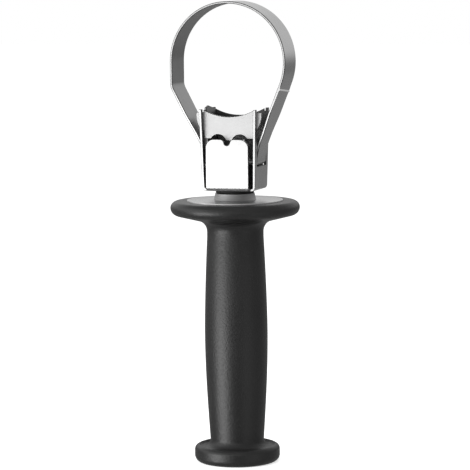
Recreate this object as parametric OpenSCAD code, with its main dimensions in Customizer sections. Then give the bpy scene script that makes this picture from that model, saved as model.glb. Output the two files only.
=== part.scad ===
// Side handle for a hand-held power tool: a moulded grip, a folded steel bracket with a saddle,
// and a steel band that the turning grip pulls tight round the tool's collar.
// The grip's axis is Z, the foot of the grip is at Z 0, and the band's loop lies in the XZ plane.

/* [Grip] */
// Diameter of the round pommel at the foot
pommel_d = 44.5; // [38:0.5:56]
// Height of the pommel
pommel_h = 9; // [7:0.5:12]
// Radius of the pommel's edges
pommel_round = 3; // [1:0.25:3.4]
// Radius of the fillet between pommel and grip
pommel_fillet = 3; // [1:0.25:4]
// Diameter of the grip just above the pommel
foot_d = 28; // [24:0.5:31]
// Diameter of the grip at its thickest
belly_d = 32.8; // [31:0.2:38]
// Height of the thickest place above the foot
belly_z = 68.5; // [50:0.5:85]
// Diameter of the grip at the neck below the flange
neck_d = 29.4; // [27:0.2:31]
// Height of the neck above the foot
neck_z = 118; // [108:0.5:119]

/* [Flange] */
// Diameter of the hand guard flange
flange_d = 67.2; // [60:0.2:80]
// Height of the flange's flat top above the foot
flange_top_z = 136.8; // [135:0.2:145]
// Height of the flange's top above its widest place
flange_rise = 3.4; // [2:0.1:4]
// Radius of the flange's lower edge
flange_under_round = 4; // [3:0.1:5]
// Slope of the flange's underside, in degrees
flange_slope = 14; // [8:1:18]
// Radius of the fillet between neck and flange
flange_fillet = 6; // [4:0.25:7]

/* [Disc] */
// Diameter of the steel disc let into the flange
disc_d = 49.7; // [40:0.1:54]
// Thickness of the disc
disc_t = 1.2; // [0.8:0.1:2]
// Depth of the disc's seat in the flange
disc_seat = 0.6; // [0.3:0.1:0.7]
// Diameter of the disc's hub at its top
hub_d = 20.4; // [16:0.2:24]
// Extra diameter of the hub at its foot
hub_flare = 1.4; // [0:0.2:3]
// Height of the hub above the disc
hub_h = 3.5; // [2:0.1:6]
// Thickness of the thrust washer on the hub
washer_t = 1.4; // [0.8:0.1:2]

/* [Bracket] */
// Thickness of the bracket's sheet
sheet_t = 1.3; // [1:0.1:1.6]
// Width over the side walls at the floor
bracket_w = 28.6; // [27:0.1:32]
// Depth of the side walls at the floor
wall_depth = 21.2; // [20:0.2:23]
// Height of the bracket
bracket_h = 42; // [38:0.5:46]
// Outward lean of each side wall at its top
wall_flare = 1; // [0:0.1:2]
// Growth of the wall's depth at its top, on each edge
wall_spread = 1.4; // [1:0.1:2.5]
// Outside radius of the bracket's bends
bend_r = 2; // [1.8:0.1:3]
// Width of the front and rear flanges
tab_w = 23; // [20:0.2:24]
// Height of the front and rear flanges
tab_h = 26.8; // [24:0.2:28]
// Distance over the front and rear flanges
tab_depth = 26; // [25:0.2:30]
// Radius of the flanges' upper corners
tab_corner = 4.5; // [2:0.25:5]
// Radius of the notch between the two humps of a flange
notch_r = 1.6; // [1:0.1:2]
// Depth of that notch
notch_depth = 3.2; // [2:0.1:4]
// Radius of the humps' inner shoulders
hump_r = 2.2; // [1.2:0.1:2.6]
// Height of the slots' lower edge above the bracket's underside
slot_z = 12.6; // [11:0.2:14]
// Height of the shoulders in the slots that carry the saddle
shoulder_z = 31; // [29.5:0.25:33]

/* [Saddle] */
// Thickness of the saddle's sheet
saddle_t = 1.3; // [1:0.1:1.6]
// Radius of the hollow that the tool's collar sits in
hollow_r = 28.3; // [24:0.1:34]
// Height of the hollow's lowest place above the bracket's underside
hollow_z = 38.2; // [37.5:0.1:39]
// Height of the tongue's tip above the bracket's underside
tongue_z = 25.9; // [25.5:0.1:26.5]
// Radius of the two scallops in the saddle's lower edge
scallop_r = 4.4; // [4:0.1:6]
// Distance of each scallop from the middle
scallop_x = 5.9; // [5.5:0.1:6.5]
// Rise of the scallops above the tongue's tip
scallop_rise = 3.2; // [2:0.1:4]
// Width of the web that joins the two plates
web_w = 5; // [3:0.2:7]
// Distance that the ears stand out of the walls
ear_out = 2.4; // [1:0.1:4]
// Height of the ears
ear_h = 9.4; // [7:0.1:10]
// Radius of the ears' outer edge
ear_r = 14.2; // [12:0.2:20]

/* [Band] */
// Width of the steel band round the loop
band_w = 19.2; // [16:0.2:20.6]
// Width of the band's ends, which pass through the slots
band_end_w = 15.2; // [12:0.1:15.8]
// Height of the ends' full width above the knees
taper_rise = 6; // [5:0.5:10]
// Height of the taper between the two widths
taper_h = 10; // [6:0.5:14]
// Thickness of the band
band_t = 1.2; // [0.8:0.1:1.4]
// Outside radius of the loop
loop_r = 31.1; // [28:0.1:36]
// Height of the loop's centre above the foot
loop_z = 208.9; // [205:0.1:215]
// Distance of the loop's centre from the grip's axis, to the left
loop_shift = 0.5; // [0:0.1:1]
// Height of the crease in the loop's left side above the foot
crease_z = 196.2; // [190:0.1:200]
// Turn of the loop past level on its right side, in degrees
right_turn = 22; // [10:1:26]
// Height of the knees above the foot
knee_z = 166; // [163:0.2:169]
// Distance of the knees' outer face from the middle
knee_x = 15.9; // [15.6:0.1:18]
// Inside radius of the band's lower bends
band_bend = 1.2; // [0.8:0.1:1.6]
// Height of the tail's tip above the top of the bracket
tail_rise = 1.7; // [0.5:0.1:4]

/* [Bolt] */
// Diameter of the bolt's shank
bolt_d = 8; // [6:0.5:8]
// Length of the bolt below its head
bolt_len = 45; // [38:1:55]
// Diameter of the bolt's round head
bolt_head_d = 17; // [14:0.5:18]
// Height of the bolt's round head
bolt_head_h = 3.8; // [3:0.1:4.2]
// Size of the square neck under the head
square_w = 8; // [8:0.1:9]
// Size across the flats of the nut
nut_af = 13; // [12.5:0.5:14]
// Height of the nut
nut_h = 8; // [6:0.5:9]

/* [Fits] */
// Running clearance on radius between bolt and nut
thread_fit = 0.05; // [0.02:0.01:0.09]
// Clearance on radius between bolt and plain holes
hole_fit = 0.3; // [0.2:0.05:0.4]
// Gap between parts that move past each other
slide_gap = 0.3; // [0.2:0.05:0.4]
// Gap between parts that stay together
seat_gap = 0.05; // [0.03:0.01:0.1]
// Gap between the saddle and the bracket's walls
saddle_gap = 0.3; // [0.2:0.05:0.4]

/* [Hidden] */
$fn = 96;
eps = 0.01;
far = 100;
bend_steps = 10;
curve_steps = 16;
loop_steps = 72;

disc_z = flange_top_z - disc_seat;
hub_top_z = disc_z + disc_t + hub_h;
washer_z = hub_top_z + slide_gap;
floor_z = washer_z + washer_t + seat_gap;
bracket_top_z = floor_z + bracket_h;
slot_edge_z = floor_z + slot_z;
shoulder_top_z = floor_z + shoulder_z;

plate_y = band_end_w / 2 + slide_gap + saddle_t;
slot_half = band_end_w / 2 + slide_gap;
ear_slot_half = plate_y + saddle_gap;

leg_x = bracket_w / 2 + wall_lean(slot_edge_z) - band_t / 2;
low_z = slot_edge_z + slide_gap + band_t / 2;
lap_gap = 0.1;
high_z = low_z + band_t + lap_gap;
bend_mid_r = band_bend + band_t / 2;
tail_x = bracket_w / 2 - sheet_t - slide_gap - band_t / 2;
tip_z = bracket_top_z + tail_rise;
joggle = 1.5;
lap_flat = 1.7;
lap_end = leg_x - bend_mid_r - lap_flat - joggle;
head_z = high_z + band_t / 2 + seat_gap;
square_h = high_z - low_z + band_t;
bore_end_z = head_z - bolt_len - 3;

function wall_lean(z) = wall_flare * (z - floor_z) / bracket_h;
function arc(x, z, r, from, to, steps) =
    [for (i = [0:steps]) let (a = from + (to - from) * i / steps) [x + r * cos(a), z + r * sin(a)]];
function swell(u) = foot_d / 2 + (belly_d - foot_d) / 2 * sin(90 * u);
function unit(v) = v / norm(v);
function normal(from, to) = let (along = unit(to - from)) [-along[1], along[0]];
function offset_at(points, i) =
    let (before = normal(points[max(i - 1, 0)], points[max(i, 1)]))
    let (last = len(points) - 1)
    let (after = normal(points[min(i, last - 1)], points[min(i + 1, last)]))
    unit(before + after) / (unit(before + after) * before);
function ease(u) = belly_d / 2 - (belly_d - neck_d) / 2 * pow(u, 1.5);

// Turned profile of the grip, from the foot's centre up to the flange's top
foot_z = pommel_h + pommel_fillet;
rim_z = flange_top_z - flange_rise;
rim_r = flange_d / 2;
under_end = [
    rim_r - flange_under_round + flange_under_round * sin(flange_slope),
    rim_z - flange_under_round * cos(flange_slope)
];
fillet_x = neck_d / 2 + flange_fillet;
fillet_z = under_end[1] - (under_end[0] - fillet_x) * tan(flange_slope)
    - flange_fillet / cos(flange_slope);
grip_profile = concat(
    [[0, 0]],
    arc(pommel_d / 2 - pommel_round, pommel_round, pommel_round, -90, 0, bend_steps),
    arc(pommel_d / 2 - pommel_round, pommel_h - pommel_round, pommel_round, 0, 90, bend_steps),
    arc(foot_d / 2 + pommel_fillet, foot_z, pommel_fillet, 270, 180, bend_steps),
    [for (i = [1:curve_steps]) let (u = i / curve_steps) [swell(u), foot_z + (belly_z - foot_z) * u]],
    [for (i = [1:curve_steps]) let (u = i / curve_steps) [ease(u), belly_z + (neck_z - belly_z) * u]],
    arc(fillet_x, fillet_z, flange_fillet, 180, 90 + flange_slope, bend_steps),
    arc(rim_r - flange_under_round, rim_z, flange_under_round, flange_slope - 90, 0, bend_steps),
    arc(rim_r - flange_rise, rim_z, flange_rise, 0, 90, bend_steps),
    [[0, flange_top_z]]
);

// Centre line of the band, from its lower end over the loop to the tip of its tail
loop_mid_r = loop_r - band_t / 2;
knee_mid = knee_x - band_t / 2;
low_bend_z = low_z + bend_mid_r;
tail_bend_z = high_z + bend_mid_r;
band_path = concat(
    [[lap_end - joggle, low_z]],
    arc(-leg_x + bend_mid_r, low_bend_z, bend_mid_r, 270, 180, bend_steps),
    [[-leg_x, low_bend_z + joggle], [-knee_mid, knee_z], [-loop_shift - loop_mid_r, crease_z]],
    arc(-loop_shift, loop_z, loop_mid_r, 180, -right_turn, loop_steps),
    [[knee_mid, knee_z], [leg_x, low_bend_z + joggle]],
    arc(leg_x - bend_mid_r, low_bend_z, bend_mid_r, 360, 270, bend_steps),
    [[lap_end + joggle, low_z], [lap_end, high_z]],
    arc(-tail_x + bend_mid_r, tail_bend_z, bend_mid_r, 270, 180, bend_steps),
    [[-tail_x - wall_lean(tip_z), tip_z]]
);

// Moulded grip with its pommel and hand guard flange
module grip() {
    color("#2b2b2b")
    difference() {
        rotate_extrude() polygon(grip_profile);
        translate([0, 0, disc_z]) cylinder(d = disc_d + 2 * seat_gap, h = far);
        translate([0, 0, disc_z - nut_h - seat_gap])
            cylinder(d = (nut_af + 2 * seat_gap) / cos(30), h = far, $fn = 6);
        translate([0, 0, bore_end_z]) cylinder(r = bolt_d / 2 + hole_fit, h = far);
    }
}

// Hexagon nut held in the grip under the disc
module nut() {
    nut_z = disc_z - nut_h;
    chamfer_r = nut_af / 2 / cos(30);
    chamfer_h = 0.8;
    color("#b8bcc0")
    difference() {
        intersection() {
            translate([0, 0, nut_z]) cylinder(r = chamfer_r, h = nut_h, $fn = 6);
            translate([0, 0, nut_z])
                cylinder(r1 = nut_af / 2, r2 = nut_af / 2 + far, h = far / tan(60) * 2);
            translate([0, 0, nut_z - chamfer_h]) cylinder(r = chamfer_r + eps, h = nut_h + chamfer_h);
        }
        translate([0, 0, nut_z - eps]) cylinder(r = bolt_d / 2 + thread_fit, h = nut_h + 2 * eps);
    }
}

// Steel disc with its turned hub
module disc() {
    edge = disc_t / 4;
    color("#c9cbcd")
    difference() {
        rotate_extrude() polygon([
            [0, disc_z],
            [disc_d / 2, disc_z],
            [disc_d / 2, disc_z + disc_t - edge],
            [disc_d / 2 - edge, disc_z + disc_t],
            [(hub_d + hub_flare) / 2, disc_z + disc_t],
            [hub_d / 2, hub_top_z - edge],
            [hub_d / 2 - edge, hub_top_z],
            [0, hub_top_z]
        ]);
        translate([0, 0, disc_z - eps]) cylinder(r = bolt_d / 2 + hole_fit, h = far);
    }
}

// Dark washer between the hub and the bracket
module thrust_washer() {
    inset = 0.3;
    color("#26272a")
    translate([0, 0, washer_z])
    difference() {
        cylinder(d = hub_d - 2 * inset, h = washer_t);
        translate([0, 0, -eps]) cylinder(r = bolt_d / 2 + hole_fit, h = washer_t + 2 * eps);
    }
}

// Outline of a folded channel with its floor at height 0, open at the top
module channel(half, lean, height, thick) {
    difference() {
        channel_block(half, lean, height, bend_r);
        translate([0, thick])
            channel_block(half - thick, lean, height + far, bend_r - thick);
    }
}

// Upright block with round lower corners and sides that lean outwards
module channel_block(half, lean, height, round_r) {
    rate = lean / bracket_h;
    polygon(concat(
        arc(-half + round_r, round_r, round_r, 180, 270, bend_steps),
        arc(half - round_r, round_r, round_r, 270, 360, bend_steps),
        [[half + rate * height, height], [-half - rate * height, height]]
    ));
}

// Draws a shape of the XZ plane as a plate, as deep as given and centred on Y
module upright(depth) {
    rotate([90, 0, 0]) linear_extrude(height = depth, center = true) children();
}

// Draws a shape of the YZ plane as a plate, as wide as given and centred on X
module sideways(width) {
    rotate([90, 0, 90]) linear_extrude(height = width, center = true) children();
}

// Outline of a bracket flange: two humps with a notch between them
module tab_outline() {
    half = tab_w / 2;
    notch_z = tab_h - notch_depth + notch_r;
    hump_z = tab_h - hump_r;
    hump_x = sqrt(pow(notch_r + hump_r, 2) - pow(notch_z - hump_z, 2));
    meet = atan((notch_z - hump_z) / hump_x);
    difference() {
        translate([-half, 0]) square([tab_w, tab_h]);
        for (side = [-1, 1]) {
            translate([side * (half - tab_corner), tab_h - tab_corner])
            difference() {
                translate([side > 0 ? 0 : -2 * tab_corner, 0]) square(2 * tab_corner);
                circle(tab_corner);
            }
        }
        polygon(concat(
            arc(-hump_x, hump_z, hump_r, 90, meet, bend_steps),
            arc(0, notch_z, notch_r, 180 + meet, 360 - meet, 2 * bend_steps),
            arc(hump_x, hump_z, hump_r, 180 - meet, 90, bend_steps),
            [[hump_x, far], [-hump_x, far]]
        ));
    }
}

// Side view of the walls, wider at the top
module wall_outline() {
    low = wall_depth / 2;
    high = low + wall_spread;
    polygon([[-low, 0], [low, 0], [high, bracket_h], [-high, bracket_h]]);
}

// Stepped slot that is open at the top: the narrow part passes the band, the wide part the ears
module slot_outline() {
    translate([-slot_half, slot_z]) square([2 * slot_half, far]);
    translate([-ear_slot_half, shoulder_z]) square([2 * ear_slot_half, far]);
}

// Folded bracket: a floor, two side walls with slots and two lower flanges
module bracket() {
    color("#c4c6c8")
    translate([0, 0, floor_z])
    difference() {
        union() {
            intersection() {
                upright(far) channel(bracket_w / 2, wall_flare, bracket_h, sheet_t);
                sideways(far) wall_outline();
            }
            intersection() {
                sideways(tab_w) channel(tab_depth / 2, 0, tab_h + far, sheet_t);
                upright(far) tab_outline();
            }
        }
        sideways(far) slot_outline();
        translate([0, 0, -eps]) cylinder(r = bolt_d / 2 + hole_fit, h = sheet_t + 2 * eps);
    }
}

// Outline of one saddle plate, with its hollow, its scallops and its ears
module saddle_outline() {
    foot_half = bracket_w / 2 - sheet_t - saddle_gap;
    corner_rise = 1;
    corner_z = tongue_z + corner_rise;
    corner_x = foot_half + wall_lean(floor_z + corner_z);
    top_half = foot_half + wall_lean(bracket_top_z);
    ear_x = bracket_w / 2 + wall_flare + ear_out;
    ear_z = shoulder_z + seat_gap;
    ear_drop = 1;
    difference() {
        union() {
            polygon([
                [-corner_x, corner_z],
                [corner_x, corner_z],
                [top_half, bracket_h],
                [-top_half, bracket_h]
            ]);
            translate([-scallop_x, tongue_z]) square([2 * scallop_x, corner_rise + eps]);
            for (side = [-1, 1]) {
                intersection() {
                    translate([side * (ear_x - ear_r), ear_z + ear_h - ear_drop]) circle(ear_r);
                    translate([side > 0 ? 0 : -far, ear_z]) square([far, ear_h]);
                }
            }
        }
        translate([0, hollow_z + hollow_r]) circle(hollow_r);
        for (side = [-1, 1]) {
            translate([side * scallop_x, tongue_z + scallop_rise - scallop_r]) circle(scallop_r);
        }
    }
}

// Saddle: two stamped plates joined by a narrow web
module saddle() {
    web_margin = 0.8;
    web_z = tongue_z + scallop_rise + web_margin;
    color("#dcdddf")
    translate([0, 0, floor_z]) {
        for (side = [-1, 1]) {
            translate([0, side * (plate_y - saddle_t / 2), 0]) upright(saddle_t) saddle_outline();
        }
        translate([-web_w / 2, -plate_y + eps, web_z])
            cube([web_w, 2 * (plate_y - eps), saddle_t]);
    }
}

// Outline of the band: its centre line widened to both sides, with mitred corners
module band_outline() {
    last = len(band_path) - 1;
    side = [for (i = [0:last]) band_t / 2 * offset_at(band_path, i)];
    polygon(concat(
        [for (i = [0:last]) band_path[i] + side[i]],
        [for (i = [last:-1:0]) band_path[i] - side[i]]
    ));
}

// Side view of the band: narrow ends that widen above the knees
module band_side_outline() {
    wide = band_w / 2;
    narrow = band_end_w / 2;
    taper_z = knee_z + taper_rise;
    polygon([
        [-narrow, 0],
        [narrow, 0],
        [narrow, taper_z],
        [wide, taper_z + taper_h],
        [wide, loop_z + far],
        [-wide, loop_z + far],
        [-wide, taper_z + taper_h],
        [-narrow, taper_z]
    ]);
}

// Side view of what is cut from the tail to leave its blunt point
module tail_cut_outline() {
    half = band_end_w / 2;
    over = 1;
    front_drop = 1.2;
    rear_drop = 2.4;
    polygon([
        [-half - over, tip_z - front_drop],
        [-half / 2, tip_z],
        [half + over, tip_z - rear_drop],
        [half + over, tip_z + over],
        [-half - over, tip_z + over]
    ]);
}

// Steel band with square holes for the bolt and a pointed tail
module band() {
    hole_w = square_w + 2 * seat_gap;
    tail_room = 4 * band_t;
    inside_x = bracket_w / 2 + wall_flare;
    color("#b4b6b9")
    difference() {
        intersection() {
            upright(band_w + eps) band_outline();
            sideways(far) band_side_outline();
        }
        translate([-hole_w / 2, -hole_w / 2, low_z - band_t])
            cube([hole_w, hole_w, high_z - low_z + 2 * band_t]);
        translate([-tail_x - wall_flare, 0, 0]) sideways(tail_room) tail_cut_outline();
        for (side = [-1, 1]) {
            translate([-inside_x, side > 0 ? band_end_w / 2 : -band_end_w / 2 - far, 0])
                cube([2 * inside_x, far, tip_z + band_t]);
        }
    }
}

// Round-headed bolt with a square neck
module bolt() {
    cap_r = (pow(bolt_head_d / 2, 2) + pow(bolt_head_h, 2)) / (2 * bolt_head_h);
    tip = 1;
    color("#a9adb2")
    translate([0, 0, head_z]) {
        intersection() {
            translate([0, 0, bolt_head_h - cap_r]) sphere(cap_r);
            cylinder(d = bolt_head_d, h = far);
        }
        translate([-square_w / 2, -square_w / 2, -square_h])
            cube([square_w, square_w, square_h + eps]);
        translate([0, 0, -bolt_len + tip]) cylinder(d = bolt_d, h = bolt_len - tip);
        translate([0, 0, -bolt_len]) cylinder(d1 = bolt_d - 2 * tip, d2 = bolt_d, h = tip);
    }
}

grip();
nut();
disc();
thrust_washer();
bracket();
saddle();
band();
bolt();
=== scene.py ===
"""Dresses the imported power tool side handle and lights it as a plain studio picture.

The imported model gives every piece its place. This script gives each piece its smooth form,
its fine edges and its finish, and adds the floor, the lamps and the camera.
"""

import logging
import math
from dataclasses import dataclass
from enum import Enum

import bmesh
import bpy
from mathutils import Matrix, Vector


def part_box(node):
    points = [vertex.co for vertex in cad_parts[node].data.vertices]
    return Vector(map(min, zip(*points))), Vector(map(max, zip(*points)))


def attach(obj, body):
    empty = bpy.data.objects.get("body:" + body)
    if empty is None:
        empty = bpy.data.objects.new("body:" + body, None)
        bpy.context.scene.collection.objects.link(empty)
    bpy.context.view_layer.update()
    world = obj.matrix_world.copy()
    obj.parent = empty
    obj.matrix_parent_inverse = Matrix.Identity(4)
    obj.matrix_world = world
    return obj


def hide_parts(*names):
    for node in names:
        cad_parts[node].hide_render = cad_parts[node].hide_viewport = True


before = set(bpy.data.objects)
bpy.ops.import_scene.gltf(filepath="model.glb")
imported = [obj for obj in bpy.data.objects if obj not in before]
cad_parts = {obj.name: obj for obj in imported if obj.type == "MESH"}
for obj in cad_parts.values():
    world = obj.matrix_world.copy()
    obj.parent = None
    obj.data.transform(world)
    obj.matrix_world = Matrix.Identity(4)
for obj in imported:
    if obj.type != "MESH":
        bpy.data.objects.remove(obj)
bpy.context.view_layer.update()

MM = 0.001
WHITE = (1.0, 1.0, 1.0, 1.0)
log = logging.getLogger("side_handle")

# Angles in degrees: past the first three an edge is sharp, under the last two faces are one.
SHARP_DEG = 28
TURNED_SHARP_DEG = 35
NEVER_SHARP_DEG = 180
FLAT_DEG = 0.5

# Distances in metres within which two points are one, or a point lies on a plane.
WELD = 1e-7
CAD_WELD = 2e-6
ON_PLANE = 1e-6

# How far a direction of length 1 reaches along an axis or, for the last, away from the heart of
# a bent sheet.
ALMOST_ALL = 0.99
MOSTLY = 0.8
BARELY = 0.1
INWARDS = -0.2

# A point of a turned profile is its distance from the axis and its height. Levels are places
# along an angle or a height, each with a brightness or a share.
Point = tuple[float, float]
Levels = tuple[tuple[float, float], ...]


def linear(hex_colour: str) -> tuple[float, float, float, float]:
    """Turns an sRGB hex colour to linear light.

    Args:
        hex_colour: Six hex digits after a hash sign.

    Returns:
        Red, green, blue and an alpha of 1.
    """
    channels = [int(hex_colour[i:i + 2], 16) / 255 for i in (1, 3, 5)]
    lit = [c / 12.92 if c <= 0.04045 else ((c + 0.055) / 1.055) ** 2.4 for c in channels]
    return (lit[0], lit[1], lit[2], 1.0)


def add_node(
    tree: bpy.types.NodeTree,
    kind: str,
    settings: dict[str, object] | None = None,
    inputs: dict[str | int, object] | None = None,
) -> bpy.types.Node:
    """Adds one node with its settings and what goes into its sockets.

    Args:
        tree: The node tree that takes the node.
        kind: Blender's name of the node's type.
        settings: Properties of the node itself.
        inputs: A value or another node's output for each socket, by name or number.

    Returns:
        The new node.
    """
    node = tree.nodes.new(kind)
    for name, value in (settings or {}).items():
        setattr(node, name, value)
    for name, value in (inputs or {}).items():
        socket = node.inputs[name]
        if isinstance(value, bpy.types.NodeSocket):
            tree.links.new(value, socket)
        else:
            socket.default_value = value
    return node


class Lay(Enum):
    """Which way the fine lines of a worked steel surface run."""

    STRIP = "along the bent strip"
    UPRIGHT = "up and down the sheet"
    RINGS = "round the turning axis"
    TUMBLED = "no direction"


# What a pattern's coordinates are scaled by along X, Y and Z: a small share draws it out to lines.
LINE_SCALES = {
    Lay.STRIP: (0.02, 1.0, 0.02),
    Lay.UPRIGHT: (1.0, 1.0, 0.03),
}


@dataclass(frozen=True)
class Finish:
    """Surface with clouds of two near tones and a fine grain that makes its gloss uneven.

    Sizes are in millimetres. The real grain and tool lines are finer than a pixel of the
    picture, so they are drawn as coarse as they need to show.
    """

    name: str
    colour: str
    cloud_colour: str
    roughness: float
    glossier: float
    duller: float
    grain_mm: float
    grain_height_mm: float
    grain_detail: float
    grain_roughness: float
    bump_strength: float
    cloud_mm: float
    cloud_detail: float

    def material(self) -> bpy.types.Material:
        """Makes the material.

        Returns:
            The new material.
        """
        mat, tree, out = blank_material(self.name)
        place = add_node(tree, "ShaderNodeTexCoord").outputs["Object"]
        grain = add_node(tree, "ShaderNodeTexNoise", None, {
            "Vector": self.pattern_place(tree, place), "Scale": 1 / (self.grain_mm * MM),
            "Detail": self.grain_detail, "Roughness": self.grain_roughness,
        })
        cloud = add_node(tree, "ShaderNodeTexNoise", None, {
            "Vector": place, "Scale": 1 / (self.cloud_mm * MM), "Detail": self.cloud_detail,
        })
        tone = add_node(tree, "ShaderNodeMixRGB", None, {
            "Fac": cloud.outputs["Fac"], "Color1": linear(self.colour), "Color2": linear(self.cloud_colour),
        })
        gloss = add_node(tree, "ShaderNodeMapRange", None, {
            "Value": grain.outputs["Fac"],
            "To Min": self.roughness - self.glossier, "To Max": self.roughness + self.duller,
        })
        bump = add_node(tree, "ShaderNodeBump", None, {
            "Height": grain.outputs["Fac"], "Distance": self.grain_height_mm * MM,
            "Strength": self.bump_strength,
        })
        skin = add_node(tree, "ShaderNodeBsdfPrincipled", None, {
            "Base Color": tone.outputs["Color"], "Roughness": gloss.outputs["Result"],
            "Normal": bump.outputs["Normal"], **self.substance(),
        })
        tree.links.new(skin.outputs["BSDF"], out.inputs["Surface"])
        return mat

    def pattern_place(self, tree: bpy.types.NodeTree, place: bpy.types.NodeSocket) -> bpy.types.NodeSocket:
        """Gives the place that the grain is drawn at, here as it is.

        Args:
            tree: The material's node tree.
            place: The object coordinates.

        Returns:
            The socket with the grain's place.
        """
        return place

    def substance(self) -> dict[str, float]:
        """Gives the values that tell one substance from another."""
        raise NotImplementedError


@dataclass(frozen=True)
class MouldedPlastic(Finish):
    """Glass-filled polyamide, injection moulded against a spark-eroded tool."""

    roughness: float = 0.32
    glossier: float = 0.08
    duller: float = 0.12
    grain_mm: float = 1.1
    grain_height_mm: float = 0.16
    grain_detail: float = 2.0
    grain_roughness: float = 0.6
    bump_strength: float = 0.9
    cloud_mm: float = 18.0
    cloud_detail: float = 3.0
    ior: float = 1.5

    def substance(self) -> dict[str, float]:
        """Gives polyamide's way of bending light."""
        return {"IOR": self.ior}


@dataclass(frozen=True)
class WorkedSteel(Finish):
    """Mild steel, rolled, stamped or turned, then zinc plated, with clouds from the plating."""

    colour: str = "#d8d8d8"
    cloud_colour: str = "#cacaca"
    roughness: float = 0.28
    glossier: float = 0.07
    duller: float = 0.09
    grain_mm: float = 0.35
    grain_height_mm: float = 0.006
    grain_detail: float = 3.0
    grain_roughness: float = 0.5
    bump_strength: float = 0.5
    cloud_mm: float = 9.0
    cloud_detail: float = 4.0
    lay: Lay = Lay.TUMBLED

    def substance(self) -> dict[str, float]:
        """Makes the surface a metal."""
        return {"Metallic": 1.0}

    def pattern_place(self, tree: bpy.types.NodeTree, place: bpy.types.NodeSocket) -> bpy.types.NodeSocket:
        """Draws the pattern out along the way the lines run.

        Args:
            tree: The material's node tree.
            place: The object coordinates.

        Returns:
            The socket with the pattern's place.
        """
        if self.lay is Lay.TUMBLED:
            return place
        if self.lay is not Lay.RINGS:
            drawn_out = {"Vector": place, "Scale": LINE_SCALES[self.lay]}
            return add_node(tree, "ShaderNodeMapping", None, drawn_out).outputs["Vector"]
        parts = add_node(tree, "ShaderNodeSeparateXYZ", None, {"Vector": place})
        flat = add_node(tree, "ShaderNodeCombineXYZ", None, {
            "X": parts.outputs["X"], "Y": parts.outputs["Y"],
        })
        reach = add_node(tree, "ShaderNodeVectorMath", {"operation": "LENGTH"}, {0: flat.outputs["Vector"]})
        rings = add_node(tree, "ShaderNodeCombineXYZ", None, {
            "X": reach.outputs["Value"], "Z": parts.outputs["Z"],
        })
        return rings.outputs["Vector"]


# A near black satin skin, whose even grain breaks up the highlight down the grip.
GRIP_SKIN = MouldedPlastic("moulded_polyamide", colour="#191919", cloud_colour="#222222")

# Painted shade: darker and duller than the grip, so that the washer shows as a thin dark line that stands in
# for the shadow gap under the bracket.
WASHER_PAINTED_SHADE = MouldedPlastic(
    "washer_polyamide_painted_shade", colour="#0e0e0e", cloud_colour="#141414", roughness=0.6, grain_mm=0.4)

# Bright grey with rings from the lathe, which break up what the flat disc reflects.
DISC_FLAT = WorkedSteel("turned_plated_steel", grain_mm=0.3, lay=Lay.RINGS)

# Painted shade: a middle grey, darker copy of the disc's steel that tones down the hub's bright reflection,
# soft and without lines.
DISC_HUB_PAINTED_SHADE = WorkedSteel("hub_steel_painted_shade", colour="#b8b8b8", cloud_colour="#acacac", roughness=0.5)

# Painted highlight: almost white, so that the disc's fine edge shows as a light line against the guard.
DISC_RIM_PAINTED_HIGHLIGHT = WorkedSteel(
    "turned_steel_painted_highlight", colour="#f6f6f6", cloud_colour="#f0f0f0", roughness=0.45, grain_mm=0.3,
    grain_height_mm=0.001, lay=Lay.RINGS)

# Bright, with faint upright lines that stretch each highlight down the bracket's walls.
SHEET_OUTSIDE = WorkedSteel("plated_rolled_sheet_steel", lay=Lay.UPRIGHT)

# Painted shade: dark grey, as the inside of a narrow channel looks, where little light comes in.
SHEET_INSIDE_PAINTED_SHADE = WorkedSteel(
    "plated_sheet_steel_painted_shade", colour="#7c7c7c", cloud_colour="#6e6e6e", roughness=0.4, lay=Lay.UPRIGHT)

# Painted shade: dull and dark, so that each cut edge draws the fine dark line round its sheet that a rounded
# edge's shading gives.
EDGE_PAINTED_SHADE = WorkedSteel(
    "steel_edge_painted_shade", colour="#5c5c5c", cloud_colour="#545454", roughness=0.45, grain_mm=0.5,
    grain_height_mm=0.001)

# Soft and slightly uneven, since tumbling has taken the lines off the stamped plates.
SADDLE_SKIN = WorkedSteel(
    "stamped_and_tumbled_steel", colour="#d2d2d2", cloud_colour="#c6c6c6", roughness=0.45, grain_mm=0.5)

# The glossiest sheet, with long lines from the rolls that follow the loop.
BAND_OUTSIDE = WorkedSteel(
    "plated_rolled_strip_steel", colour="#d4d4d4", cloud_colour="#c8c8c8", roughness=0.25, grain_mm=0.3,
    lay=Lay.STRIP)

# Painted shade: a tone darker than the outside, so that the loop reads as hollow.
BAND_INSIDE_PAINTED_SHADE = WorkedSteel(
    "plated_strip_steel_painted_shade", colour="#a8a8a8", cloud_colour="#9c9c9c", roughness=0.3, grain_mm=0.3,
    lay=Lay.STRIP)

# Painted highlight: almost white and glossy, so that the folded line catches light across the leg.
BAND_FOLD_PAINTED_HIGHLIGHT = WorkedSteel(
    "strip_steel_painted_highlight", colour="#f6f6f6", cloud_colour="#f0f0f0", roughness=0.2, grain_mm=0.5,
    grain_height_mm=0.001)

# Plain grey, a little darker than the sheets, with the clouds of barrel plating.
FASTENER_SKIN = WorkedSteel(
    "barrel_plated_steel", colour="#c8c8c8", cloud_colour="#bababa", roughness=0.3)


def blank_material(name: str) -> tuple[bpy.types.Material, bpy.types.NodeTree, bpy.types.Node]:
    """Makes a material whose tree holds only its output.

    Args:
        name: The material's name.

    Returns:
        The material, its node tree and its output node.
    """
    mat = bpy.data.materials.new(name)
    mat.use_nodes = True
    mat.node_tree.nodes.clear()
    out = add_node(mat.node_tree, "ShaderNodeOutputMaterial")
    return mat, mat.node_tree, out


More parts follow.
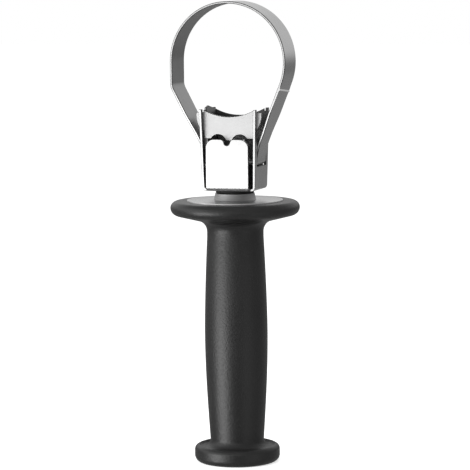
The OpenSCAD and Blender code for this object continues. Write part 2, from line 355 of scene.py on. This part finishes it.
def arc(x: float, z: float, r: float, start: float, end: float, steps: int) -> list[Point]:
    """Points along an arc in the plane of a turned profile.

    Args:
        x: Distance of the arc's centre from the axis.
        z: Height of the arc's centre.
        r: The arc's radius.
        start: First angle in degrees.
        end: Last angle in degrees.
        steps: Number of steps.

    Returns:
        The points, as distance from the axis and height.
    """
    angles = [math.radians(start + (end - start) * i / steps) for i in range(steps + 1)]
    return [(x + r * math.cos(a), z + r * math.sin(a)) for a in angles]


def turned(name: str, profile: list[Point], steps: int = 144) -> bpy.types.Object:
    """Turns a profile in millimetres round the Z axis into a closed piece.

    Args:
        name: The piece's name.
        profile: Points as distance from the axis and height.
        steps: Steps round the axis.

    Returns:
        The new object.
    """
    bm = bmesh.new()
    verts = [bm.verts.new((r * MM, 0, z * MM)) for r, z in profile]
    edges = [bm.edges.new(pair) for pair in zip(verts, verts[1:])]
    bmesh.ops.spin(
        bm, geom=verts + edges, cent=(0, 0, 0), axis=(0, 0, 1), dvec=(0, 0, 0),
        angle=math.tau, steps=steps, use_merge=True, use_duplicate=False,
    )
    bmesh.ops.remove_doubles(bm, verts=bm.verts, dist=WELD)
    bmesh.ops.recalc_face_normals(bm, faces=bm.faces)
    return finished(name, bm, TURNED_SHARP_DEG)


def finished(name: str, bm: bmesh.types.BMesh, sharp_deg: float) -> bpy.types.Object:
    """Puts a mesh in the scene, smooth apart from its sharp edges.

    Args:
        name: The piece's name.
        bm: The mesh, which is freed.
        sharp_deg: Angle past which an edge stays sharp.

    Returns:
        The new object, at the origin.
    """
    for face in bm.faces:
        face.smooth = True
    for edge in bm.edges:
        edge.smooth = edge.calc_face_angle(0) < math.radians(sharp_deg)
    mesh = bpy.data.meshes.new(name)
    bm.to_mesh(mesh)
    bm.free()
    obj = bpy.data.objects.new(name, mesh)
    bpy.context.collection.objects.link(obj)
    return obj


def merged_copy(node: str) -> bmesh.types.BMesh:
    """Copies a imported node's form with its triangles joined to whole faces.

    Args:
        node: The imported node.

    Returns:
        The copy.
    """
    bm = bmesh.new()
    bm.from_mesh(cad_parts[node].data)
    bmesh.ops.remove_doubles(bm, verts=bm.verts, dist=CAD_WELD)
    bmesh.ops.dissolve_limit(bm, angle_limit=math.radians(FLAT_DEG), verts=bm.verts, edges=bm.edges)
    return bm


class Face(Enum):
    """Places of a sheet piece's finishes in its list of materials."""

    OUTSIDE = 0
    # Slot of the inward faces' painted shade.
    INSIDE = 1
    # Slot of the broken edges' painted shade.
    EDGE = 2
    # Slot of the folded line's painted highlight.
    FOLD = 3


def mark_painted_shade(bm: bmesh.types.BMesh, heart: Vector, flat: bool) -> None:
    """Gives the faces that look at the heart of a bent sheet their painted shade.

    Args:
        bm: The sheet's mesh.
        heart: The point that the inside faces look at.
        flat: True to leave heights out, for a folded channel.
    """
    bm.normal_update()
    for face in bm.faces:
        away = face.calc_center_bounds() - heart
        if flat:
            away.z = 0.0
        if away.normalized().dot(face.normal) < INWARDS:
            face.material_index = Face.INSIDE.value


def softened(name: str, bm: bmesh.types.BMesh, round_mm: float, edge_shade_slot: int = -1) -> bpy.types.Object:
    """Puts a mesh in the scene with its sharp edges broken, as tumbling and plating leave them.

    Args:
        name: The piece's name.
        bm: Its mesh, which is freed.
        round_mm: Width of the broken edges.
        edge_shade_slot: Place of the edges' painted shade, or -1 for the finish of the faces beside them.

    Returns:
        The new object.
    """
    weight = bm.edges.layers.float.new("bevel_weight_edge")
    for edge in bm.edges:
        folded = any(face.material_index == Face.FOLD.value for face in edge.link_faces)
        sharp = edge.calc_face_angle(0) > math.radians(SHARP_DEG)
        edge[weight] = float(sharp and not folded)
    obj = finished(name, bm, SHARP_DEG)
    broken = obj.modifiers.new("broken_edges", "BEVEL")
    broken.width = round_mm * MM
    broken.segments = 3
    broken.limit_method = "WEIGHT"
    broken.harden_normals = True
    broken.use_clamp_overlap = True
    broken.material = edge_shade_slot
    return obj


def dress(obj: bpy.types.Object, finishes: list[Finish], node: str, body: str) -> None:
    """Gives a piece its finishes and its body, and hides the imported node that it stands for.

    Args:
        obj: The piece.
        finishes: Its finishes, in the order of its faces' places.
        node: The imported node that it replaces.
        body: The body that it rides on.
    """
    for finish in finishes:
        obj.data.materials.append(finish.material())
    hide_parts(node)
    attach(obj, body)
    log.info("%s: %d faces, on %s", obj.name, len(obj.data.polygons), body)


@dataclass
class Grip:
    """Moulded grip with its pommel and hand guard. Sizes are in millimetres.

    The foot is where the waisted grip meets the pommel. The guard's underside falls by the
    slope towards the grip, and bore_room is left under the bolt's tip at rest.
    """

    pommel_d: float = 44.5
    pommel_h: float = 9.0
    pommel_round: float = 2.6
    pommel_under_round: float = 3.6
    pommel_groove: float = 0.9
    pommel_fillet: float = 4.0
    foot_d: float = 28.0
    belly_d: float = 32.8
    belly_z: float = 68.5
    neck_d: float = 29.4
    neck_z: float = 118.0
    flange_d: float = 67.2
    flange_top_z: float = 136.8
    flange_rise: float = 3.4
    under_round: float = 4.0
    slope_deg: float = 14.0
    fillet: float = 6.0
    seat_d: float = 49.8
    seat_depth: float = 0.6
    pocket_af: float = 13.2
    pocket_depth: float = 8.1
    bore_d: float = 8.6
    bore_room: float = 3.0
    seat_edge: float = 0.15
    wall_search: float = 0.01
    neck_power: float = 1.5
    arc_steps: int = 12
    swell_steps: int = 24

    def profile(self) -> list[Point]:
        """Works out the turned profile, from the pommel over the guard to the end of the bore.

        Returns:
            Points as distance from the axis and height.
        """
        foot_z = self.pommel_h - self.pommel_groove + self.pommel_fillet
        rim_x, rim_z = self.flange_d / 2, self.flange_top_z - self.flange_rise
        slope = math.radians(self.slope_deg)
        under_x = rim_x - self.under_round + self.under_round * math.sin(slope)
        under_z = rim_z - self.under_round * math.cos(slope)
        fillet_x = self.neck_d / 2 + self.fillet
        fillet_z = under_z - (under_x - fillet_x) * math.tan(slope) - self.fillet / math.cos(slope)
        pommel_r = self.pommel_d / 2
        seat_z = self.flange_top_z - self.seat_depth
        pocket_r, pocket_z = self.pocket_corner(), seat_z - self.pocket_depth
        bore_end_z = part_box("bolt")[0][2] / MM - self.bore_room
        swell = [i / self.swell_steps for i in range(1, self.swell_steps + 1)]
        foot_r, belly_r, neck_r = self.foot_d / 2, self.belly_d / 2, self.neck_d / 2
        over, under, groove = self.pommel_round, self.pommel_under_round, self.pommel_groove
        seat_r, steps = self.seat_d / 2, self.arc_steps
        return [
            (0, 0),
            *arc(pommel_r - under, under, under, -90, 0, steps),
            *arc(pommel_r - over, self.pommel_h - over, over, 0, 90, steps),
            *arc(foot_r + self.pommel_fillet + groove, self.pommel_h, groove, 0, -90, steps),
            *arc(foot_r + self.pommel_fillet, foot_z, self.pommel_fillet, 270, 180, steps),
            *[(foot_r + (belly_r - foot_r) * math.sin(u * math.pi / 2), foot_z + (self.belly_z - foot_z) * u)
              for u in swell],
            *[(belly_r - (belly_r - neck_r) * u ** self.neck_power,
               self.belly_z + (self.neck_z - self.belly_z) * u)
              for u in swell],
            *arc(fillet_x, fillet_z, self.fillet, 180, 90 + self.slope_deg, steps),
            *arc(rim_x - self.under_round, rim_z, self.under_round, self.slope_deg - 90, 0, steps),
            *arc(rim_x - self.flange_rise, rim_z, self.flange_rise, 0, 90, steps),
            (seat_r + self.seat_edge, self.flange_top_z),
            (seat_r, self.flange_top_z - self.seat_edge),
            (seat_r, seat_z),
            (pocket_r, seat_z),
            (pocket_r, pocket_z),
            (self.bore_d / 2, pocket_z),
            (self.bore_d / 2, bore_end_z),
            (0, bore_end_z),
        ]

    def pocket_corner(self) -> float:
        """Works out how far the corners of the nut's pocket are from the axis."""
        return self.pocket_af / 2 / math.cos(math.pi / 6)

    def press_hexagon(self, obj: bpy.types.Object) -> None:
        """Brings the turned pocket's round wall to the nut's six flats.

        Args:
            obj: The turned grip.
        """
        for vert in obj.data.vertices:
            reach = vert.co.xy.length
            on_wall = abs(reach / MM - self.pocket_corner()) < self.wall_search
            if on_wall and vert.co.z > self.neck_z * MM:
                turn = math.atan2(vert.co.y, vert.co.x) % (math.pi / 3) - math.pi / 6
                flat = self.pocket_af / 2 * MM / math.cos(turn)
                vert.co.x *= flat / reach
                vert.co.y *= flat / reach

    def build(self) -> None:
        """Builds the grip and dresses it."""
        obj = turned("grip_moulding", self.profile())
        self.press_hexagon(obj)
        dress(obj, [GRIP_SKIN], "grip", "grip")


class DiscFace(Enum):
    """Places of the disc's finishes in its list of materials."""

    FLAT = 0
    # Slot of the hub's painted shade.
    HUB = 1
    # Slot of the rim's painted highlight.
    RIM = 2


@dataclass
class Disc:
    """Steel disc with its hub. Sizes are in millimetres."""

    disc_d: float = 49.7
    disc_t: float = 1.2
    hub_d: float = 20.4
    hub_flare: float = 1.4
    hub_h: float = 3.5
    bore_d: float = 8.6
    edge: float = 0.14
    under_steps: int = 4
    edge_steps: int = 6

    def build(self) -> None:
        """Builds the disc on its seat and dresses it."""
        seat_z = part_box("disc")[0][2] / MM
        top_z = seat_z + self.disc_t
        hub_top = top_z + self.hub_h
        hub_r, rim_r = self.hub_d / 2, self.disc_d / 2
        profile = [
            (self.bore_d / 2, seat_z),
            (rim_r - self.edge, seat_z),
            *arc(rim_r - self.edge, seat_z + self.edge, self.edge, -90, 0, self.under_steps),
            *arc(rim_r - self.edge, top_z - self.edge, self.edge, 0, 90, self.edge_steps),
            (hub_r + self.hub_flare / 2 + self.edge, top_z),
            (hub_r + self.hub_flare / 2, top_z + self.edge),
            *arc(hub_r - self.edge, hub_top - self.edge, self.edge, 0, 90, self.edge_steps),
            (self.bore_d / 2, hub_top),
            (self.bore_d / 2, seat_z),
        ]
        obj = turned("disc_with_hub", profile)
        for face in obj.data.polygons:
            if face.center.z > (top_z + self.edge / 4) * MM:
                face.material_index = DiscFace.HUB.value
            elif face.center.xy.length > (rim_r - self.edge) * MM:
                face.material_index = DiscFace.RIM.value
        dress(obj, [DISC_FLAT, DISC_HUB_PAINTED_SHADE, DISC_RIM_PAINTED_HIGHLIGHT], "disc", "grip")


@dataclass
class Head:
    """Bracket, saddle and thrust washer. Sizes are in millimetres.

    The rear plate's foot lies rear_drop under the saddle's tongues, and scallop_rise above
    them is where no scallop reaches.
    """

    edge_mm: float = 0.22
    washer_edge_mm: float = 0.12
    rear_drop: float = 0.75
    scallop_rise: float = 3.35

    def build(self) -> None:
        """Builds the three pieces and dresses them."""
        axis = Vector((0, 0, 0))
        folded = merged_copy("bracket")
        # Inward faces take painted shade, and the broken edges a painted dark line.
        mark_painted_shade(folded, axis, flat=True)
        bracket = softened("folded_bracket", folded, self.edge_mm, Face.EDGE.value)
        dress(bracket, [SHEET_OUTSIDE, SHEET_INSIDE_PAINTED_SHADE, EDGE_PAINTED_SHADE], "bracket", "head")
        plates = merged_copy("saddle")
        self.square_rear_plate(plates)
        mark_painted_shade(plates, axis, flat=True)
        saddle = softened("saddle_plates", plates, self.edge_mm, Face.EDGE.value)
        dress(saddle, [SADDLE_SKIN, SHEET_INSIDE_PAINTED_SHADE, EDGE_PAINTED_SHADE], "saddle", "head")
        washer = softened("washer_ring", merged_copy("thrust_washer"), self.washer_edge_mm)
        dress(washer, [WASHER_PAINTED_SHADE], "thrust_washer", "head")

    def square_rear_plate(self, bm: bmesh.types.BMesh) -> None:
        """Fills the scallops of the rear plate, since the photograph shows no light under it.

        Args:
            bm: The saddle's mesh.
        """
        tongue_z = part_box("saddle")[0][2]
        for vert in bm.verts:
            if vert.co.y > 0 and vert.co.z < tongue_z + self.scallop_rise * MM:
                vert.co.z = tongue_z - self.rear_drop * MM
        bmesh.ops.remove_doubles(bm, verts=bm.verts, dist=ON_PLANE)


@dataclass
class Band:
    """Steel band with its creases and its folded line. Sizes are in millimetres.

    The folded line's crest is given in half widths of the line.
    """

    edge_mm: float = 0.33
    crease_low_z: float = 160.0
    crease_from_deg: float = 10.0
    crease_to_deg: float = 35.0
    crease_mm: float = 1.6
    crease_segments: int = 5
    fold_z: float = 194.1
    fold_search: float = 2.0
    fold_half_mm: float = 0.5
    fold_crest: float = -0.5
    fold_rise_mm: float = 0.45
    fold_skew_deg: float = 5.5

    def build(self) -> None:
        """Builds the band and dresses it."""
        bm = merged_copy("band")
        self.round_creases(bm)
        point, across = self.press_fold(bm)
        # Inward faces take painted shade, the folded line a painted highlight and the edges a painted dark
        # line.
        mark_painted_shade(bm, self.loop_centre(), flat=False)
        self.mark_fold(bm, point, across)
        band = softened("steel_band", bm, self.edge_mm, Face.EDGE.value)
        dress(band, [BAND_OUTSIDE, BAND_INSIDE_PAINTED_SHADE, EDGE_PAINTED_SHADE, BAND_FOLD_PAINTED_HIGHLIGHT], "band", "clamp")

    def loop_centre(self) -> Vector:
        """Works out the loop's middle, as far under its top as the loop is wide to each side.

        Returns:
            The point, in metres.
        """
        low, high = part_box("band")
        return Vector(((low[0] + high[0]) / 2, 0, high[2] - (high[0] - low[0]) / 2))

    def round_creases(self, bm: bmesh.types.BMesh) -> None:
        """Rounds the band's sharp creases and knees, as a press leaves them.

        Args:
            bm: The band's mesh.
        """
        low, high = math.radians(self.crease_from_deg), math.radians(self.crease_to_deg)
        creases = []
        for edge in bm.edges:
            along = edge.verts[1].co - edge.verts[0].co
            lies_across = abs(along.normalized().y) > ALMOST_ALL
            is_high = edge.verts[0].co.z > self.crease_low_z * MM
            if lies_across and is_high and low < edge.calc_face_angle(0) < high:
                creases.append(edge)
        bmesh.ops.bevel(
            bm, geom=creases, offset=self.crease_mm * MM, offset_type="OFFSET",
            segments=self.crease_segments, profile=0.5, affect="EDGES", material=-1, clamp_overlap=True,
        )
        bm.normal_update()

    def leg_faces(self, bm: bmesh.types.BMesh) -> list[bmesh.types.BMFace]:
        """Finds the outside faces of the right leg at the fold.

        Args:
            bm: The band's mesh.

        Returns:
            The faces.
        """
        return [
            face for face in bm.faces
            if face.normal.x > MOSTLY and abs(face.normal.y) < BARELY
            and min(v.co.z for v in face.verts) < (self.fold_z + self.fold_search) * MM
            and max(v.co.z for v in face.verts) > (self.fold_z - self.fold_search) * MM
        ]

    def fold_frame(self, bm: bmesh.types.BMesh) -> tuple[Vector, Vector, Vector]:
        """Works out where the fold lies on the right leg.

        Args:
            bm: The band's mesh.

        Returns:
            A point on the fold, the leg's outward direction and the direction across the fold.
        """
        leg = max(self.leg_faces(bm), key=lambda face: face.calc_area())
        out = leg.normal.copy()
        corner = leg.verts[0].co
        up = Vector((-out.z, 0, out.x))
        point = corner + up * ((self.fold_z * MM - corner.z) / up.z)
        point.y = 0.0
        skew = math.radians(self.fold_skew_deg)
        return point, out, up * math.cos(skew) + Vector((0, 1, 0)) * math.sin(skew)

    def press_fold(self, bm: bmesh.types.BMesh) -> tuple[Vector, Vector]:
        """Raises a fine folded line across the right leg.

        Args:
            bm: The band's mesh.

        Returns:
            A point on the fold and the direction across it.
        """
        point, out, across = self.fold_frame(bm)
        half = self.fold_half_mm * MM
        for step in (-1, self.fold_crest, 1):
            faces = self.leg_faces(bm)
            edges = {edge for face in faces for edge in face.edges}
            verts = {vert for face in faces for vert in face.verts}
            bmesh.ops.bisect_plane(
                bm, geom=[*faces, *edges, *verts], dist=WELD,
                plane_co=point + across * (step * half), plane_no=across,
            )
        for vert in bm.verts:
            away = vert.co - point
            on_crest = abs(away.dot(across) - self.fold_crest * half) < ON_PLANE
            if on_crest and abs(away.dot(out)) < ON_PLANE and vert.co.x > 0:
                vert.co += out * (self.fold_rise_mm * MM)
        bm.normal_update()
        return point, across

    def mark_fold(self, bm: bmesh.types.BMesh, point: Vector, across: Vector) -> None:
        """Gives the folded line its painted highlight.

        Args:
            bm: The band's mesh.
            point: A point on the fold.
            across: The direction across it.
        """
        for face in bm.faces:
            middle = face.calc_center_median()
            faces_out = middle.x > 0 and face.normal.x > BARELY
            if faces_out and abs((middle - point).dot(across)) < self.fold_half_mm * MM:
                face.material_index = Face.FOLD.value


@dataclass
class Fasteners:
    """Bolt and nut. Sizes are in millimetres."""

    edge_mm: float = 0.15

    def build(self) -> None:
        """Builds both pieces and dresses them."""
        bolt = softened("clamp_bolt", merged_copy("bolt"), self.edge_mm)
        dress(bolt, [FASTENER_SKIN], "bolt", "clamp")
        nut = softened("grip_nut", merged_copy("nut"), self.edge_mm)
        dress(nut, [FASTENER_SKIN], "nut", "grip")


@dataclass(frozen=True)
class LightTent:
    """Tent of white and grey cloth round the handle, which shows only in the handle's gloss.

    Lengths are in metres. The cloth's low, middle and high zones have their own levels, which
    pair an angle round the handle, 0 in front and positive to the right, with the brightness
    there. The caps pair a height with how far the plain top or bottom covers the zones.
    """

    radius: float = 0.8
    steps_round: int = 64
    steps_up: int = 32
    centre_z: float = 0.15
    peak: float = 4.5
    cap_level: float = 0.3
    low: Levels = (
        (-180, 0.26), (-110, 0.22), (-76, 0.3), (-62, 1.6), (-52, 4.5), (-30, 4.5), (-18, 2.0),
        (-6, 0.5), (8, 0.15), (35, 0.2), (52, 0.55), (70, 0.45), (95, 0.24), (180, 0.26),
    )
    middle: Levels = (
        (-180, 0.2), (-120, 0.25), (-95, 0.5), (-75, 1.2), (-45, 1.45), (-18, 1.6), (0, 1.3),
        (18, 0.7), (40, 0.3), (90, 0.2), (150, 0.18), (180, 0.2),
    )
    high: Levels = (
        (-180, 0.72), (-150, 0.8), (-100, 0.7), (-70, 1.3), (-45, 1.4), (-18, 0.6), (10, 0.35),
        (60, 0.3), (120, 0.4), (150, 0.62), (180, 0.66),
    )
    low_to_middle: tuple[float, float] = (0.06, 0.1)
    middle_to_high: tuple[float, float] = (0.15, 0.27)
    caps: Levels = ((-0.65, 1), (-0.45, 1), (-0.2, 0), (0.5, 0), (0.75, 1), (0.95, 1))

    def build(self) -> None:
        """Builds the tent, hidden from the camera, from diffuse light and from shadows."""
        bm = bmesh.new()
        bmesh.ops.create_uvsphere(
            bm, u_segments=self.steps_round, v_segments=self.steps_up, radius=self.radius)
        bmesh.ops.translate(bm, verts=bm.verts, vec=(0, 0, self.centre_z))
        tent = finished("light_tent", bm, NEVER_SHARP_DEG)
        tent.data.materials.append(self.cloth())
        tent.visible_camera = False
        tent.visible_diffuse = False
        tent.visible_shadow = False

    def cloth(self) -> bpy.types.Material:
        """Makes the glowing cloth, with its levels painted round it and blended upwards.

        Returns:
            The new material.
        """
        mat, tree, out = blank_material("white_and_grey_cloth")
        place = add_node(tree, "ShaderNodeTexCoord").outputs["Object"]
        facing = add_node(tree, "ShaderNodeMapping", None, {"Vector": place, "Scale": (1, -1, 1)})
        parts = add_node(tree, "ShaderNodeSeparateXYZ", None, {"Vector": facing.outputs["Vector"]})
        height = parts.outputs["Z"]
        turn = add_node(tree, "ShaderNodeMath", {"operation": "ARCTAN2"}, {
            0: parts.outputs["X"], 1: parts.outputs["Y"],
        }).outputs["Value"]
        level = self.painted(tree, turn, self.around(self.low))
        for levels, heights in ((self.middle, self.low_to_middle), (self.high, self.middle_to_high)):
            rise = add_node(tree, "ShaderNodeMapRange", {"interpolation_type": "SMOOTHSTEP"}, {
                "Value": height, "From Min": heights[0], "From Max": heights[1],
            })
            level = add_node(tree, "ShaderNodeMixRGB", None, {
                "Fac": rise.outputs["Result"], "Color1": level,
                "Color2": self.painted(tree, turn, self.around(levels)),
            }).outputs["Color"]
        whole = add_node(tree, "ShaderNodeMixRGB", None, {
            "Fac": self.painted(tree, height, self.caps),
            "Color1": level, "Color2": (self.cap_level / self.peak,) * 3 + (1.0,),
        })
        glow = add_node(tree, "ShaderNodeEmission", None, {
            "Color": whole.outputs["Color"], "Strength": self.peak,
        })
        tree.links.new(glow.outputs["Emission"], out.inputs["Surface"])
        mat.cycles.emission_sampling = "NONE"
        return mat

    def around(self, levels: Levels) -> Levels:
        """Turns levels round the handle to radians and to shares of the peak.

        Args:
            levels: Angles in degrees, each with its brightness.

        Returns:
            The same levels, ready to be painted.
        """
        return tuple((math.radians(angle), level / self.peak) for angle, level in levels)

    def painted(
        self, tree: bpy.types.NodeTree, along: bpy.types.NodeSocket, levels: Levels,
    ) -> bpy.types.NodeSocket:
        """Paints the cloth's brightness along an angle or a height.

        Args:
            tree: The tent's node tree.
            along: The socket with the angle in radians or the height.
            levels: Places along it, in order, and the brightness at each.

        Returns:
            The socket with the brightness.
        """
        first, last = levels[0][0], levels[-1][0]
        share = add_node(tree, "ShaderNodeMapRange", None, {
            "Value": along, "From Min": first, "From Max": last,
        })
        ramp = add_node(tree, "ShaderNodeValToRGB", None, {"Fac": share.outputs["Result"]})
        stops = ramp.color_ramp.elements
        while len(stops) < len(levels):
            stops.new(1.0)
        for stop, (at, level) in zip(stops, levels):
            stop.position = (at - first) / (last - first)
            stop.color = (level, level, level, 1.0)
        return ramp.outputs["Color"]


@dataclass(frozen=True)
class Lamp:
    """Square area lamp that gloss doesn't show. Lengths are in metres and angles in degrees.

    Its azimuth is 0 in front of the handle and positive to the right.
    """

    name: str
    azimuth: float
    elevation: float
    away: float
    size: float
    watts: float

    def build(self, aim: Vector) -> None:
        """Adds the lamp.

        Args:
            aim: The point that it looks at.
        """
        data = bpy.data.lights.new(self.name, "AREA")
        data.shape = "SQUARE"
        data.size = self.size
        data.energy = self.watts
        lamp = bpy.data.objects.new(self.name, data)
        lamp.visible_glossy = False
        swing, rise = math.radians(self.azimuth), math.radians(self.elevation)
        back = Vector((math.sin(swing) * math.cos(rise), -math.cos(swing) * math.cos(rise), math.sin(rise)))
        turn = back.to_track_quat("Z", "Y").to_matrix().to_4x4()
        lamp.matrix_world = Matrix.Translation(aim + back * self.away) @ turn
        bpy.context.collection.objects.link(lamp)


KEY_LAMP = Lamp("key_lamp", azimuth=-42.0, elevation=22.0, away=1.6, size=1.4, watts=20.0)
FRONT_LAMP = Lamp("front_lamp", azimuth=20.0, elevation=12.0, away=2.0, size=0.8, watts=8.0)
TOP_LAMP = Lamp("top_lamp", azimuth=0.0, elevation=80.0, away=1.5, size=1.2, watts=8.0)


@dataclass
class Studio:
    """Floor, lamps, world and camera. Lengths are in metres and angles in degrees."""

    azimuth: float = 18.08
    distance: float = 1.327
    height: float = 0.2631
    pitch: float = 6.204
    roll: float = -0.549
    lens_mm: float = 196.84
    sensor_mm: float = 36.0
    shift_x: float = -0.0008
    far_end: float = 50.0
    aim_z: float = 0.12
    floor_half: float = 6.0
    floor_colour: str = "#f4f4f4"
    floor_glow: float = 0.62
    world_level: float = 0.45

    def build(self) -> None:
        """Sets up everything that isn't part of the handle."""
        self.add_camera()
        self.add_world()
        self.add_floor()
        LightTent().build()
        for lamp in (KEY_LAMP, FRONT_LAMP, TOP_LAMP):
            lamp.build(Vector((0, 0, self.aim_z)))

    def add_camera(self) -> None:
        """Adds the camera at the photograph's viewing angle."""
        data = bpy.data.cameras.new("studio_camera")
        data.lens = self.lens_mm
        data.sensor_width = self.sensor_mm
        data.shift_x = self.shift_x
        data.clip_end = self.far_end
        camera = bpy.data.objects.new("studio_camera", data)
        turn = math.radians(self.azimuth)
        spot = Vector((math.sin(turn) * self.distance, -math.cos(turn) * self.distance, self.height))
        camera.matrix_world = (
            Matrix.Translation(spot)
            @ Matrix.Rotation(turn, 4, "Z")
            @ Matrix.Rotation(math.radians(90 - self.pitch), 4, "X")
            @ Matrix.Rotation(math.radians(self.roll), 4, "Z")
        )
        bpy.context.collection.objects.link(camera)
        bpy.context.scene.camera = camera

    def add_world(self) -> None:
        """Adds a world that looks white and lights the handle plainly."""
        world = bpy.data.worlds.new("studio_world")
        world.use_nodes = True
        tree = world.node_tree
        tree.nodes.clear()
        seen = self.seen_directly(tree)
        white = add_node(tree, "ShaderNodeBackground", None, {"Color": WHITE, "Strength": 1.0})
        soft = add_node(tree, "ShaderNodeBackground", None, {"Color": WHITE, "Strength": self.world_level})
        mix = add_node(tree, "ShaderNodeMixShader", None, {
            "Fac": seen, 1: soft.outputs["Background"], 2: white.outputs["Background"],
        })
        out = add_node(tree, "ShaderNodeOutputWorld")
        tree.links.new(mix.outputs["Shader"], out.inputs["Surface"])
        bpy.context.scene.world = world

    def seen_directly(self, tree: bpy.types.NodeTree) -> bpy.types.NodeSocket:
        """Tells apart the rays that show a surface from those that only light one.

        Args:
            tree: The node tree that takes the nodes.

        Returns:
            A socket that is 1 for camera, glossy and transmission rays.
        """
        path = add_node(tree, "ShaderNodeLightPath")
        first = add_node(tree, "ShaderNodeMath", {"operation": "MAXIMUM"}, {
            0: path.outputs["Is Camera Ray"], 1: path.outputs["Is Glossy Ray"],
        })
        both = add_node(tree, "ShaderNodeMath", {"operation": "MAXIMUM"}, {
            0: first.outputs["Value"], 1: path.outputs["Is Transmission Ray"],
        })
        return both.outputs["Value"]

    def add_floor(self) -> None:
        """Adds the pale floor that the handle stands on."""
        bm = bmesh.new()
        bmesh.ops.create_grid(bm, x_segments=1, y_segments=1, size=self.floor_half)
        floor = finished("studio_floor", bm, SHARP_DEG)
        mat, tree, out = blank_material("white_sweep")
        matt = add_node(tree, "ShaderNodeBsdfDiffuse", None, {"Color": linear(self.floor_colour)})
        glow = add_node(tree, "ShaderNodeEmission", None, {"Color": WHITE, "Strength": self.floor_glow})
        both = add_node(tree, "ShaderNodeAddShader", None, {
            0: matt.outputs["BSDF"], 1: glow.outputs["Emission"],
        })
        mix = add_node(tree, "ShaderNodeMixShader", None, {
            "Fac": self.seen_directly(tree), 1: matt.outputs["BSDF"], 2: both.outputs["Shader"],
        })
        tree.links.new(mix.outputs["Shader"], out.inputs["Surface"])
        floor.data.materials.append(mat)
        floor.visible_glossy = False


def main() -> None:
    """Builds the handle and the studio in order."""
    logging.basicConfig(level=logging.INFO, format="%(message)s")
    bpy.context.scene.view_settings.view_transform = "Standard"
    for part in (Grip(), Disc(), Head(), Band(), Fasteners(), Studio()):
        part.build()


if __name__ == "__main__":
    main()
